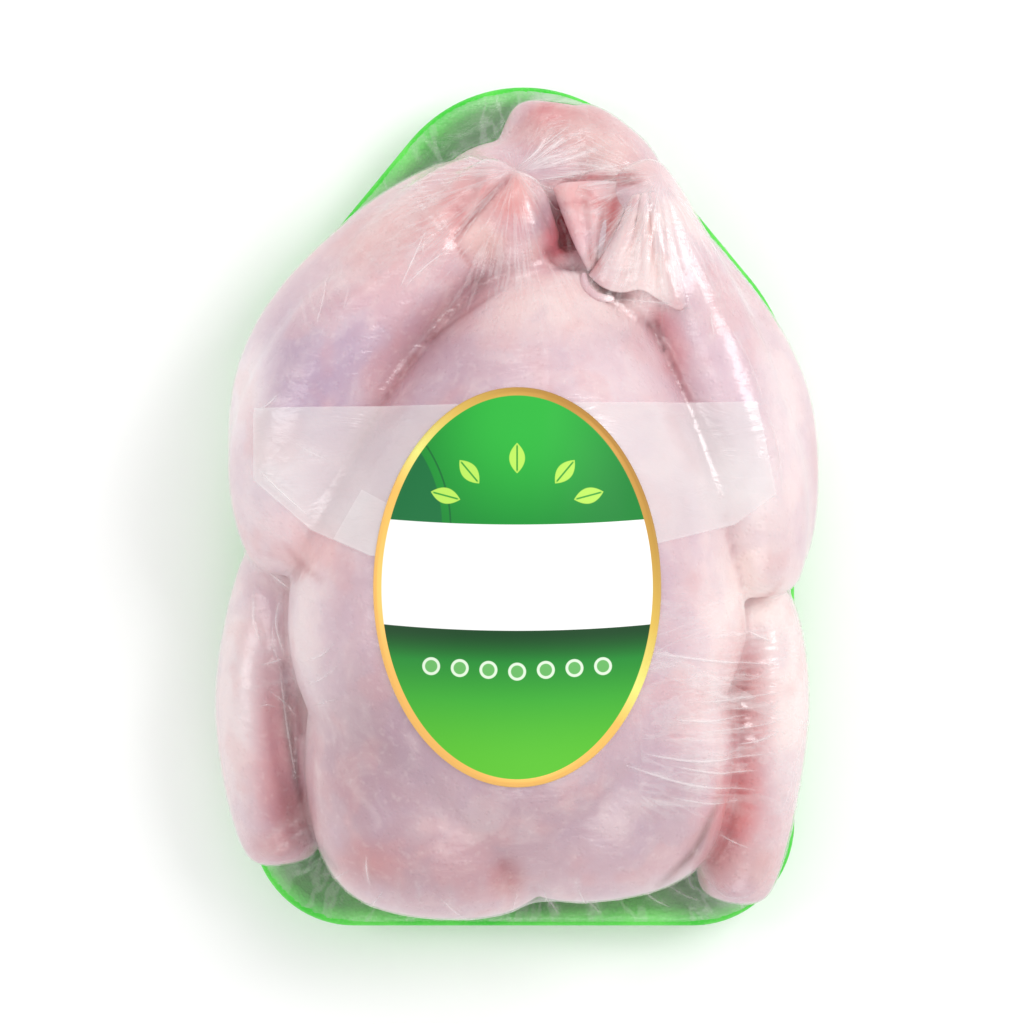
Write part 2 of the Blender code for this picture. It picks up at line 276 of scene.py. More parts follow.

# Colours of the skin by place, among them painted highlights and painted shade: x, y in mm, half sizes, the
# turn in degrees, the colour and its strength.
SKIN_BASE = "#d9b9c1"
SKIN_TONES_AND_LIGHT = (
    (0, -30, 50, 72, 0, "#cbaebb", 0.75),
    (-26, 30, 18, 30, -20, "#bd98a8", 0.85),
    (34, 28, 18, 30, 10, "#e6ced4", 0.8),
    (14, 62, 26, 12, 0, "#efd5d2", 0.8),
    # Painted highlights: paler along the breast's right side and along its left edge.
    (60, -45, 12, 34, 0, "#f3dbdb", 0.85),
    (-64, -40, 7, 34, 0, "#ecd9db", 0.85),
    # Painted shade: these four darken the breast toward its lower left and its bottom.
    (-42, -76, 20, 26, 0, "#ab8492", 0.75),
    (0, -92, 28, 14, 0, "#b7929e", 0.65),
    (38, -90, 20, 18, 0, "#bfa2ad", 0.75),
    (-24, -108, 28, 10, 0, "#b68d97", 0.7),
    (-60, 40, 20, 24, -40, "#b79cb4", 0.95),
    (-74, 4, 13, 16, 0, "#efe2e6", 0.8),
    (-84, 34, 9, 18, -14, "#f2e5e9", 0.9),
    # Painted shade along the crease between the breast and the left leg.
    (-24, 56, 24, 6, 42, "#b98790", 0.7),
    (-40, 32, 6, 16, -30, "#d6a8ad", 0.6),
    (-60, -13, 8, 6, 40, "#ecb8b7", 0.7),
    (-70, -6, 8, 9, 0, "#ecd0d3", 0.7),
    (-36, 86, 26, 12, 40, "#deb4b3", 0.9),
    (-18, 90, 8, 14, -20, "#dc9c9b", 0.7),
    (-13, 93, 4, 9, -35, "#b9666a", 0.5),
    (-2, 90, 8, 9, 0, "#dc8a86", 0.85),
    (-10, 80, 8, 7, 0, "#e2b4ae", 0.8),
    (1, 97, 4, 4, 0, "#e2958f", 0.6),
    # Painted shadow: the grey-mauve right side of the left leg's end.
    (9, 87, 4, 8, -25, "#a8828f", 0.8),
    (8, 77, 6, 4, 0, "#e8beb8", 0.6),
    (13, 118, 18, 10, 0, "#cf9897", 0.9),
    (10, 121, 6, 4, 0, "#d27a7e", 0.75),
    (30, 107, 14, 8, -30, "#e9c3bf", 0.8),
    (15, 84, 5, 13, -25, "#c8242f", 1.0),
    # Painted shade: the dark red slit under the overhanging skin.
    (28, 98.5, 9, 2.4, 0, "#b52f3a", 0.95),
    (48, 84, 10, 18, -15, "#f6e4e2", 0.9),
    (46, 51, 4, 12, 20, "#e59fa5", 0.8),
    (62, 34, 10, 20, 15, "#dfc4d0", 0.8),
    # Painted highlights: these three make the lit right leg paler.
    (80, 20, 8, 34, 0, "#f2dede", 0.9),
    (66, 6, 10, 12, 0, "#fff6f6", 0.9),
    (66, -18, 9, 14, 0, "#f9e4df", 0.9),
    (-74, -70, 7, 26, 5, "#cb8f97", 0.95),
    # The left wing's red, darkened beside the breast as painted crease shade.
    (-68, -94, 8, 12, 10, "#b4666f", 0.85),
    (-87, -56, 8, 44, 0, "#f0e1e1", 0.9),
    (-72, -104, 9, 5, 0, "#c98a8e", 0.6),
    (69, -62, 7, 28, 0, "#dd9c9c", 0.85),
    (65, -94, 8, 16, -10, "#d8686a", 0.95),
    (58, -104, 7, 7, 0, "#a85257", 0.6),
    (72, -110, 9, 8, 0, "#d9b0ae", 0.7),
    # Painted highlights: these two make the right side paler.
    (84, -56, 8, 34, 0, "#fbebe7", 0.9),
    (74, -32, 10, 9, 0, "#fff0ec", 0.9),
    (-3, -111, 5, 6, 0, "#b97478", 0.8),
    (-45, -106, 9, 6, 0, "#cb8c8e", 0.7),
)
# Dark lines of painted shade in the skin's creases and slits, in mm: the line seen from above, half its
# width, the colour and its strength. Along the breast's right edge they carry the wing's red too.
SKIN_CREASE_SHADE = (
    (((-49, 19), (-42, 32), (-31, 49), (-16, 60), (-6, 66), (5, 71)), 2.6, "#b98089", 0.28),
    (((-46, 21), (-39, 33), (-28, 49), (-13, 59.5), (-4, 65.5)), 0.7, "#8f3a48", 0.6),
    (((-70, -29), (-72, -36), (-70, -45), (-71, -48)), 1.1, "#a8606a", 0.5),
    (((-71, -48), (-70, -65), (-67, -83), (-62, -101), (-55, -109)), 1.5, "#5e1c26", 0.85),
    (((68, -34), (69.5, -55), (67, -73), (61, -88)), 1.8, "#b8545a", 0.6),
    (((61, -88), (54, -103), (43, -114)), 1.5, "#6e2228", 0.8),
    (((-1, 100.5), (-9, 91.5), (-18.5, 79.5)), 0.8, "#9a343a", 0.85),
    (((-15, 94), (-17, 85), (-19, 79)), 1.6, "#c06a70", 0.5),
    (((-18.5, 79), (-16, 75), (-13, 71)), 0.6, "#c0706f", 0.6),
    (((11, 71.5), (16, 71.5), (21, 70)), 0.9, "#7a1c26", 0.9),
    (((24, 69), (28, 65), (33, 62)), 0.9, "#a8444a", 0.7),
    (((42, 62), (45, 52), (49, 38), (53, 30)), 1.3, "#d5868d", 0.6),
    (((9, 98), (20, 99.5), (34, 98)), 1.2, "#b0434a", 0.7),
    (((-70, -11), (-64, -18), (-58, -22)), 1.0, "#b46a70", 0.5),
    (((70, -30), (76, -27), (80, -22)), 1.0, "#cf9292", 0.5),
)
# Lines of painted shade in the folds of the loose skin, listed like the lines above.
FOLD_CREASE_SHADE = (
    (((29.5, 94), (29, 89), (27.5, 84), (25, 76)), 0.8, "#b83a40", 0.85),
    (((20, 96), (24, 92), (29, 90)), 0.7, "#cf6a6c", 0.6),
    (((16, 91), (20, 88), (27, 86)), 0.6, "#d88a8a", 0.5),
    (((21.4, 80), (22.4, 74)), 0.6, "#cf7c7e", 0.5),
    (((37, 88), (34.5, 79), (31, 67)), 0.7, "#e2b4ae", 0.6),
    (((39.4, 88), (40, 79), (41.6, 66)), 0.7, "#e0aca6", 0.7),
    (((42.2, 86), (45, 79), (48, 70)), 0.6, "#e6bdb8", 0.6),
)
FOLD_AREAS = (
    (40, 78, 15, 24, 0, "#f3dedc", 1.0),
    (19, 88, 5, 10, 0, "#e4b0b1", 0.8),
    (17, 95, 9, 3, 0, "#eab4b2", 0.7),
    # From here on, the dark red marks lie in the flap's creases: painted shade.
    (28.5, 87, 2.4, 8, -18, "#c4474c", 0.9),
    (24, 82, 1.2, 8, -20, "#cf7c7e", 0.6),
    (24, 91, 10, 1.6, 0, "#c96a6d", 0.7),
    (23.4, 73, 2, 4, 0, "#b8575a", 0.6),
)

# Fans of film pleats: x, y of the gather in mm, from and to degrees, count, lengths from and to, whiteness.
FILM_FANS = (
    (-0.6, 101, 12, 48, 7, 14, 34, 0.8),
    (-0.6, 101, 155, 215, 7, 8, 26, 0.45),
    (-0.6, 101, -60, -10, 5, 6, 14, 0.5),
    (42.8, 99, -118, -42, 8, 14, 48, 0.18),
    (42.8, 99, 160, 186, 3, 14, 34, 0.6),
    (-19, 79, 110, 215, 8, 8, 24, 0.4),
    (22, 70, -30, 30, 4, 8, 20, 0.4),
)

# Rows of film pleats, in mm: where the pleats start, from and to, where they end, count and whiteness.
FILM_ROWS = (
    ((52, -38), (36, -90), (82, -36), (70, -92), 17, 0.6),
    ((-80, 20), (-84, -60), (-66, 8), (-66, -56), 9, 0.35),
    ((-70, 62), (-52, 74), (-64, 50), (-46, 62), 8, 0.4),
    ((-80, -98), (-72, -112), (-64, -92), (-60, -100), 5, 0.5),
    ((-55, -122), (65, -122), (-52, -110), (60, -108), 12, 0.4),
    ((66, 60), (80, 30), (58, 52), (68, 24), 7, 0.3),
    ((70, -98), (80, -90), (84, -104), (88, -84), 4, 0.4),
    ((-66, 58), (-20, 116), (-56, 48), (-10, 104), 13, 0.35),
)

# Creases of the film, in mm: the line seen from above, its half width and how white it is. The white is the
# creased film's own and, along each crest, partly a painted highlight.
FILM_CREASES = (
    (((-72, -28), (-73, -36), (-70, -46)), 0.55, 0.7),
    (((-72, -48), (-70, -66), (-67, -84)), 0.50, 0.6),
    (((-1, 102), (8, 110), (17, 117)), 0.50, 0.9),
    (((0, 101), (11, 109), (19, 114)), 0.35, 0.7),
    (((4, 99), (18, 101), (38, 105)), 0.50, 0.9),
    (((-2, 101), (6, 98), (12, 96)), 0.45, 0.8),
    (((-3, 102), (-12, 104), (-22, 102)), 0.40, 0.5),
    (((-35, 65), (-31, 74), (-27, 83)), 0.50, 0.8),
    (((-34, 65), (-27, 72), (-19, 78)), 0.45, 0.8),
    (((-28, 75), (-28, 78), (-27, 81)), 0.40, 0.6),
    (((-60, 54), (-58, 62), (-57, 70)), 0.45, 0.6),
    (((-52, 58), (-51, 62), (-50, 66)), 0.40, 0.4),
    (((-77, 29), (-74, 31), (-71, 34)), 0.50, 0.8),
    (((-78, 12), (-71, 5), (-62, -3)), 0.50, 0.8),
    (((-66, 19), (-61, 16), (-56, 14)), 0.45, 0.5),
    (((-76, -19), (-72, -22), (-68, -25)), 0.45, 0.8),
    (((-80, -25), (-80, -34), (-77, -43)), 0.45, 0.5),
    (((-74, -34), (-74, -42), (-72, -47)), 0.40, 0.5),
    (((-78, -48), (-74, -47), (-71, -46)), 0.45, 0.7),
    (((-76, -55), (-70, -60), (-67, -64)), 0.40, 0.5),
    (((-79, -61), (-76, -60), (-73, -61)), 0.40, 0.5),
    (((-64, -46), (-58, -44), (-54, -40)), 0.40, 0.5),
    (((-63, -53), (-58, -51), (-53, -47)), 0.40, 0.5),
    (((-62, -60), (-57, -58), (-52, -57)), 0.35, 0.4),
    (((69, -37), (73, -39), (78, -41)), 0.55, 0.9),
    (((40, -43), (60, -46), (79, -48)), 0.60, 0.9),
    (((62, -50), (70, -51), (77, -52)), 0.40, 0.5),
    (((52, -58), (66, -58), (81, -56)), 0.55, 0.9),
    (((60, -61), (70, -61), (80, -59)), 0.40, 0.6),
    (((45, -63), (58, -64), (71, -63)), 0.50, 0.9),
    (((55, -67), (68, -67), (80, -65)), 0.50, 0.8),
    (((66, -72), (73, -71), (80, -68)), 0.50, 0.9),
    (((37, -73), (55, -76), (77, -75)), 0.60, 0.95),
    (((46, -77), (61, -80), (73, -80)), 0.60, 0.9),
    (((31, -76), (52, -83), (73, -86)), 0.60, 0.9),
    (((44, -86), (58, -89), (68, -89)), 0.50, 0.7),
    (((61, -99), (66, -102), (71, -104)), 0.40, 0.7),
    (((56, -112), (64, -119), (72, -119)), 0.40, 0.4),
    (((8, -115), (10, -121), (13, -126)), 0.60, 0.8),
    (((1, -114), (-1, -120), (-2, -125)), 0.45, 0.5),
    (((18, -114), (21, -120), (26, -126)), 0.60, 0.7),
    (((37, -116), (42, -121), (48, -124)), 0.50, 0.6),
    (((44, -115), (52, -120), (58, -122)), 0.45, 0.5),
    (((-45, -104), (-45, -109), (-44, -114)), 0.45, 0.8),
    (((-60, -114), (-55, -112), (-50, -109)), 0.45, 0.6),
    (((-49, -123), (-44, -120), (-40, -115)), 0.45, 0.6),
    (((-24, -116), (-18, -122), (-12, -126)), 0.45, 0.5),
    (((42, 100), (38, 88), (36, 74)), 0.40, 0.35),
    (((43, 99), (41, 86), (42, 72)), 0.35, 0.35),
    (((43, 99), (45, 84), (50, 66)), 0.40, 0.4),
    (((44, 99), (50, 82), (58, 64)), 0.35, 0.3),
    (((30, 62), (42, 61), (52, 59)), 0.45, 0.6),
    (((58, 59), (58, 55), (59, 50)), 0.40, 0.6),
    (((59, 60), (68, 46), (74, 30)), 0.35, 0.4),
    (((74, 30), (78, 18), (79, 4)), 0.35, 0.4),
)

# The lights: the name, the place, the size and the power in watts. All of them aim at the bird.
LIGHTS = (
    ("key", (0.85, 0.45, 1.25), (0.7, 0.7), 9),
    ("left box", (-1.1, 0.1, 1.1), (0.5, 0.9), 3.6),
    ("tail box", (-0.2, 1.2, 1.1), (0.9, 0.4), 2.2),
    ("head box", (0.2, -1.2, 1.0), (0.9, 0.4), 2.2),
)
LIGHTS_AIM = (0, 0, 0.05)
WORLD_LIGHT = 0.70
CAMERA_PLACE = (-0.0015, -0.0015, 1.6)
CAMERA_LENS = 179.24


def colour(code):
    """A colour code as linear red, green, blue and full alpha."""
    parts = (int(code[index : index + 2], 16) / 255 for index in (1, 3, 5))
    return (*(part / 12.92 if part <= 0.04045 else ((part + 0.055) / 1.055) ** 2.4 for part in parts), 1.0)


# Meshes


def linked(name, data):
    made = bpy.data.objects.new(name, data)
    bpy.context.scene.collection.objects.link(made)
    return made


def mesh_object(name, points, faces):
    mesh = bpy.data.meshes.new(name)
    mesh.from_pydata(points, [], faces)
    return linked(name, mesh)


def bridged(rings):
    """Points and faces of a closed skin over rings of equal length, with a face over each end."""
    sides = len(rings[0])
    points = [point for ring in rings for point in ring]
    faces = [tuple(reversed(range(sides)))]
    for row in range(len(rings) - 1):
        for side in range(sides):
            after = (side + 1) % sides
            here = row * sides
            faces.append((here + side, here + after, here + sides + after, here + sides + side))
    faces.append(tuple((len(rings) - 1) * sides + side for side in range(sides)))
    return points, faces


def on_curve(stations, share):
    """The station at this share of the way along, on a smooth curve through all of them."""
    place = share * (len(stations) - 1)
    index = min(int(place), len(stations) - 2)
    t = place - index
    before, start = stations[max(index - 1, 0)], stations[index]
    end, after = stations[index + 1], stations[min(index + 2, len(stations) - 1)]
    return [
        0.5 * (2 * b + (c - a) * t + (2 * a - 5 * b + 4 * c - d) * t**2 + (3 * b - a - 3 * c + d) * t**3)
        for a, b, c, d in zip(before, start, end, after)
    ]


def mass(name, stations, roundness, rows=44, sides=44):
    """A fleshy mass: ovals along a smooth curve, which shrink to a rounded end at both ends."""
    rings = []
    for row in range(rows):
        share = 0.5 - 0.5 * math.cos(math.pi * (row + 0.5) / rows)
        swell = (1 - abs(2 * share - 1) ** roundness) ** (1 / roundness)
        x, y, z, across, up = on_curve(stations, share)
        ahead = on_curve(stations, min(share + 0.01, 1.0))
        behind = on_curve(stations, max(share - 0.01, 0.0))
        along = (Vector(ahead[:3]) - Vector(behind[:3])).normalized()
        side = along.cross(Vector((0, 0, 1))).normalized()
        top = side.cross(along)
        middle = Vector((x, y, z))
        rings.append([
            middle
            + side * (across * swell * math.cos(turn))
            + top * (up * swell * math.sin(turn))
            for turn in (2 * math.pi * step / sides for step in range(sides))
        ])
    return mesh_object(name, *bridged(rings))


def rounded_outline(corners, step):
    """A closed outline through corners (x, y, radius), each rounded by an arc in points a step apart."""
    outline = []
    for index, (x, y, radius) in enumerate(corners):
        corner = Vector((x, y))
        before = Vector(corners[index - 1][:2])
        after = Vector(corners[(index + 1) % len(corners)][:2])
        to_before, to_after = (before - corner).normalized(), (after - corner).normalized()
        half = to_before.angle(to_after) / 2
        centre = corner + (to_before + to_after).normalized() * (radius / math.sin(half))
        start = corner + to_before * (radius / math.tan(half)) - centre
        sweep = math.pi - 2 * half
        count = max(2, round(radius * sweep / step))
        for number in range(count + 1):
            turn = sweep * number / count
            cosine, sine = math.cos(turn), math.sin(turn)
            turned = Vector((start.x * cosine - start.y * sine, start.x * sine + start.y * cosine))
            outline.append(centre + turned)
    return outline


def tray_outline(step):
    half = TRAY_WIDTH / 2
    foot = -TRAY_LENGTH / 2
    return rounded_outline(
        (
            (TRAY_CENTRE_X - half, foot, TRAY_CORNER_RADIUS),
            (TRAY_CENTRE_X + half, foot, TRAY_CORNER_RADIUS),
            (TRAY_CENTRE_X + half, TRAY_SHOULDER_Y, TRAY_SHOULDER_RADIUS),
            (TRAY_CENTRE_X, TRAY_APEX_Y, TRAY_APEX_RADIUS),
            (TRAY_CENTRE_X - half, TRAY_SHOULDER_Y, TRAY_SHOULDER_RADIUS),
        ),
        step,
    )


def inset_ring(outline, inset, height):
    """The outline moved inwards by inset, at this height."""
    count = len(outline)
    ring = []
    for index, point in enumerate(outline):
        along = (outline[(index + 1) % count] - outline[index - 1]).normalized()
        moved = point + Vector((-along.y, along.x)) * inset
        ring.append(Vector((moved.x, moved.y, height)))
    return ring


def closed_loft(name, outline, profile):
    """A solid whose rings are the outline at each (inset, height) of the profile."""
    return mesh_object(name, *bridged([inset_ring(outline, inset, height) for inset, height in profile]))


def skin_sheet(name, ribs, thickness=0.0012, steps=40):
    """A thin sheet of skin through ribs of points in mm. It thins out at its edges."""
    grid = []
    for row in range(steps + 1):
        down = [on_curve(rib, row / steps) for rib in ribs]
        grid.append([Vector(on_curve(down, column / steps)) * MM for column in range(steps + 1)])
    rings = []
    for row in range(steps + 1):
        over, under = [], []
        for column in range(steps + 1):
            across = grid[row][min(column + 1, steps)] - grid[row][max(column - 1, 0)]
            ahead = grid[min(row + 1, steps)][column] - grid[max(row - 1, 0)][column]
            normal = across.cross(ahead).normalized()
            normal = normal if normal.z > 0 else -normal
            rim = min(row, column, steps - row, steps - column) / steps
            half = thickness / 2 * min(1.0, 0.25 + rim * 9)
            over.append(grid[row][column] + normal * half)
            under.append(grid[row][column] - normal * half)
        rings.append(over + under[::-1])
    return mesh_object(name, *bridged(rings))


def bake_modifiers(obj):
    """The object's mesh becomes what its modifiers make of it."""
    bpy.context.view_layer.update()
    graph = bpy.context.evaluated_depsgraph_get()
    mesh = bpy.data.meshes.new_from_object(obj.evaluated_get(graph))
    obj.modifiers.clear()
    obj.data = mesh


def joined(name, pieces):
    """One object of several closed skins, which are then removed."""
    whole = bmesh.new()
    for piece in pieces:
        whole.from_mesh(piece.data)
        bpy.data.objects.remove(piece)
    mesh = bpy.data.meshes.new(name)
    whole.to_mesh(mesh)
    whole.free()
    return linked(name, mesh)


def fused(name, pieces, cell, passes):
    """One closed skin over overlapping pieces, which are then removed."""
    made = joined(name, pieces)
    skin = made.modifiers.new("skin", "REMESH")
    skin.mode = "VOXEL"
    skin.voxel_size = cell
    soften = made.modifiers.new("soften", "SMOOTH")
    soften.factor = 0.5
    soften.iterations = passes
    bake_modifiers(made)
    return made


def drawn_tight(obj, flesh):
    """Film over what it wraps: it is pulled smooth again and again, and stays outside."""
    for number in range(TIGHTEN_ROUNDS):
        pull = obj.modifiers.new(f"pull {number}", "SMOOTH")
        pull.factor = 0.5
        pull.iterations = TIGHTEN_PASSES
        rest = obj.modifiers.new(f"rest {number}", "SHRINKWRAP")
        rest.target = flesh
        rest.wrap_method = "NEAREST_SURFACEPOINT"
        rest.wrap_mode = "OUTSIDE"
        rest.offset = FILM_STAND_OFF
    bake_modifiers(obj)


def points_of(obj):
    points = np.empty(len(obj.data.vertices) * 3)
    obj.data.vertices.foreach_get("co", points)
    return points.reshape(-1, 3)


def normals_of(obj):
    normals = np.empty(len(obj.data.vertices) * 3)
    obj.data.vertex_normals.foreach_get("vector", normals)
    return normals.reshape(-1, 3)


def set_points(obj, points):
    obj.data.vertices.foreach_set("co", points.ravel())
    obj.data.update()


def hollowness(obj, passes=12):
    """How far each point lies below the smoothed surface, in metres: positive in a crease."""
    points = points_of(obj)
    edges = np.empty(len(obj.data.edges) * 2, np.int64)
    obj.data.edges.foreach_get("vertices", edges)
    a, b = edges.reshape(-1, 2).T
    count = np.bincount(a, minlength=len(points)) + np.bincount(b, minlength=len(points))
    smooth = points.copy()
    for _ in range(passes):
        total = np.stack([
            np.bincount(a, smooth[b, axis], len(points)) + np.bincount(b, smooth[a, axis], len(points))
            for axis in range(3)
        ], axis=1)
        smooth = 0.5 * smooth + 0.5 * total / count[:, None]
    return ((smooth - points) * normals_of(obj)).sum(axis=1)


def line_distance(places, line):
    """Each place's distance from a line, and how far along it the nearest point is, from 0 to 1."""
    best = np.full(len(places), 1e9)
    along = np.zeros(len(places))
    parts = len(line) - 1
    for index in range(parts):
        start, end = np.array(line[index], float), np.array(line[index + 1], float)
        span = end - start
        share = np.clip(((places - start) @ span) / (span @ span), 0, 1)
        distance = np.linalg.norm(places - start - share[:, None] * span, axis=1)
        nearer = distance < best
        best[nearer] = distance[nearer]
        along[nearer] = (index + share[nearer]) / parts
    return best, along


def stroked(obj, strokes, lowest):
    """Raises or sinks the surface along lines seen from above, where it faces up, over the lowest height."""
    points, normals = points_of(obj), normals_of(obj)
    facing = np.clip(normals[:, 2] * 2, 0, 1) * (points[:, 2] > lowest)
    lift = np.zeros(len(points))
    for line, width, height in strokes:
        distance, along = line_distance(points[:, :2] / MM, line)
        taper = np.sin(np.pi * np.clip(along, 0.04, 0.96)) ** 0.5
        lift += height * MM * taper * np.exp(-((distance / width) ** 2))
    set_points(obj, points + normals * (lift * facing)[:, None])


def tray_height(places):
    """The tray's upper face in metres under each place in mm, or far down where there is no tray."""
    corners = [tuple(point / MM) for point in tray_outline(0.004)]
    closed = [*corners, corners[0]]
    inset, _ = line_distance(places, closed)
    inside = np.zeros(len(places), bool)
    for (from_x, from_y), (to_x, to_y) in zip(closed, closed[1:]):
        spans = (from_y > places[:, 1]) != (to_y > places[:, 1])
        if from_y != to_y:
            crossing = from_x + (places[:, 1] - from_y) / (to_y - from_y) * (to_x - from_x)
            inside ^= spans & (places[:, 0] < crossing)
    insets, heights = zip((0.0, TRAY_INSIDE[0][1]), *TRAY_INSIDE)
    surface = np.interp(np.where(inside, inset, 0.0) * MM, insets, heights)
    return np.where(inside | (inset < RIM_REACH), surface, -1.0)


def rested_on_tray(obj):
    """The underside is pressed up so that it follows the tray's dish and rim."""
    points = points_of(obj)
    highest = max(height for _, height in TRAY_INSIDE) + TRAY_GAP
    low = points[:, 2] < highest
    points[low, 2] = np.maximum(points[low, 2], tray_height(points[low, :2] / MM) + TRAY_GAP)
    set_points(obj, points)


def painted(obj, base, areas, shade_lines):
    """Lays the base colour, the coloured areas and the lines of painted crease shade on the points, as the
    attribute tint. Some of the areas are painted highlights and shade.
    """
    places = points_of(obj)[:, :2] / MM
    tint = np.tile(np.array(colour(base)), (len(places), 1))
    for x, y, across, along, turn, code, strength in areas:
        angle = math.radians(turn)
        dx, dy = places[:, 0] - x, places[:, 1] - y
        u = (dx * math.cos(angle) + dy * math.sin(angle)) / across
        v = (dy * math.cos(angle) - dx * math.sin(angle)) / along
        cover = (strength * np.exp(-((u * u + v * v) ** 1.5) * 0.8))[:, None]
        tint = tint * (1 - cover) + np.array(colour(code)) * cover
    # Painted shade: each dark line darkens a crease.
    for line, width, code, strength in shade_lines:
        distance, along = line_distance(places, line)
        taper = np.sin(np.pi * np.clip(along, 0.06, 0.94)) ** 0.5
        cover = (strength * taper * np.exp(-((distance / width) ** 2)))[:, None]
        tint = tint * (1 - cover) + np.array(colour(code)) * cover
    flush = np.array([noise.fractal(Vector(point) * 45, 0.6, 2.0, 3) for point in points_of(obj)])
    for gain, most, code in ((0.8, 0.20, "#e0a09e"), (-0.6, 0.16, "#bfa8c0")):
        cover = np.clip(flush * gain - 0.10, 0, most)
        tint = tint * (1 - cover[:, None]) + np.array(colour(code)) * cover[:, None]
    layer = obj.data.color_attributes.new("tint", "FLOAT_COLOR", "POINT")
    layer.data.foreach_set("color", tint.ravel())


def ground_of(obj):
    """The object's surface, to measure from or to drop points onto."""
    bpy.context.view_layer.update()
    return BVHTree.FromObject(obj, bpy.context.evaluated_depsgraph_get())


def depth_under(obj, cover):
    """How far each point lies from the cover, in metres."""
    ground = ground_of(cover)
    return [ground.find_nearest(vertex.co)[3] for vertex in obj.data.vertices]


def number_layer(obj, name, values):
    layer = obj.data.attributes.new(name, "FLOAT", "POINT")
    layer.data.foreach_set("value", values)


def smooth_shaded(obj):
    obj.data.shade_smooth()


# Materials


class Value:
    """One socket of a material's nodes. Arithmetic on it adds the nodes that work it out."""

    def __init__(self, finish, socket):
        self.finish = finish
        self.socket = socket

    def maths(self, operation, *others):
        return self.finish.node("Math", {"operation": operation}, dict(enumerate((self, *others))))

    def __add__(self, other):
        return self.maths("ADD", other)

    __radd__ = __add__

    def __sub__(self, other):
        return self.maths("SUBTRACT", other)

    def __rsub__(self, other):
        return (self * -1) + other

    def __mul__(self, other):
        return self.maths("MULTIPLY", other)

    __rmul__ = __mul__

    def __truediv__(self, other):
        return self.maths("DIVIDE", other)

    def __pow__(self, other):
        return self.maths("POWER", other)

    def ramp(self, low, high, to_low=0.0, to_high=1.0):
        """Eases from to_low to to_high as the value goes from low to high, which may be the smaller."""
        settings = {"interpolation_type": "SMOOTHSTEP"}
        if low > high:
            low, high, to_low, to_high = high, low, to_high, to_low
        return self.finish.node("MapRange", settings, {0: self, 1: low, 2: high, 3: to_low, 4: to_high})

    def least(self, other):
        return self.maths("MINIMUM", other)

    def most(self, other):
        return self.maths("MAXIMUM", other)


class Finish:
    """A material under construction."""

    def __init__(self, name):
        self.material = bpy.data.materials.new(name)
        self.material.use_nodes = True
        self.tree = self.material.node_tree
        self.tree.nodes.clear()

    def feed(self, socket, value):
        if isinstance(value, Value):
            self.tree.links.new(value.socket, socket)
        else:
            socket.default_value = value

    def node(self, kind, settings=None, sockets=None, out=0):
        """Adds a node: its settings, then the values or links of its sockets. Gives the output named."""
        made = self.tree.nodes.new("ShaderNode" + kind)
        for key, value in (settings or {}).items():
            if key == "stops":
                self.set_stops(made.color_ramp, value)
            else:
                setattr(made, key, value)
        for key, value in (sockets or {}).items():
            self.feed(made.inputs[key], value)
        return Value(self, made.outputs[out])

    def set_stops(self, ramp, stops):
        while len(ramp.elements) < len(stops):
            ramp.elements.new(0.5)
        for element, (place, shade) in zip(ramp.elements, stops):
            element.position = place
            element.color = colour(shade)

    def place(self):
        return self.node("TexCoord", out="Object")

    def parts(self, vector):
        split = self.node("SeparateXYZ", sockets={0: vector}).socket.node
        return [Value(self, output) for output in split.outputs]

    def vector(self, x, y, z=0.0):
        return self.node("CombineXYZ", sockets={0: x, 1: y, 2: z})

    def stretched(self, vector, scale):
        return self.node("VectorMath", {"operation": "MULTIPLY"}, {0: vector, 1: scale})

    def noise(self, vector, scale, detail=3.0, roughness=0.5, distortion=0.0):
        sockets = {"Vector": vector, "Scale": scale, "Detail": detail, "Roughness": roughness}
        return self.node("TexNoise", sockets={**sockets, "Distortion": distortion})

    def number(self, name):
        return self.node("Attribute", {"attribute_name": name}, out="Fac")

    def blend(self, share, first, second):
        """The two colours mixed: share 0 is the first, and 1 the second."""
        settings = {"data_type": "RGBA", "blend_type": "MIX", "clamp_factor": True}
        return self.node("Mix", settings, {0: share, 6: first, 7: second}, out=2)

    def bump(self, height, distance, strength):
        return self.node("Bump", sockets={"Height": height, "Distance": distance, "Strength": strength})

    def principled(self, **sockets):
        named = {key.replace("_", " "): value for key, value in sockets.items()}
        return self.node("BsdfPrincipled", sockets=named)

    def done(self, shader):
        output = self.tree.nodes.new("ShaderNodeOutputMaterial")
        self.tree.links.new(shader.socket, output.inputs["Surface"])
        return self.material


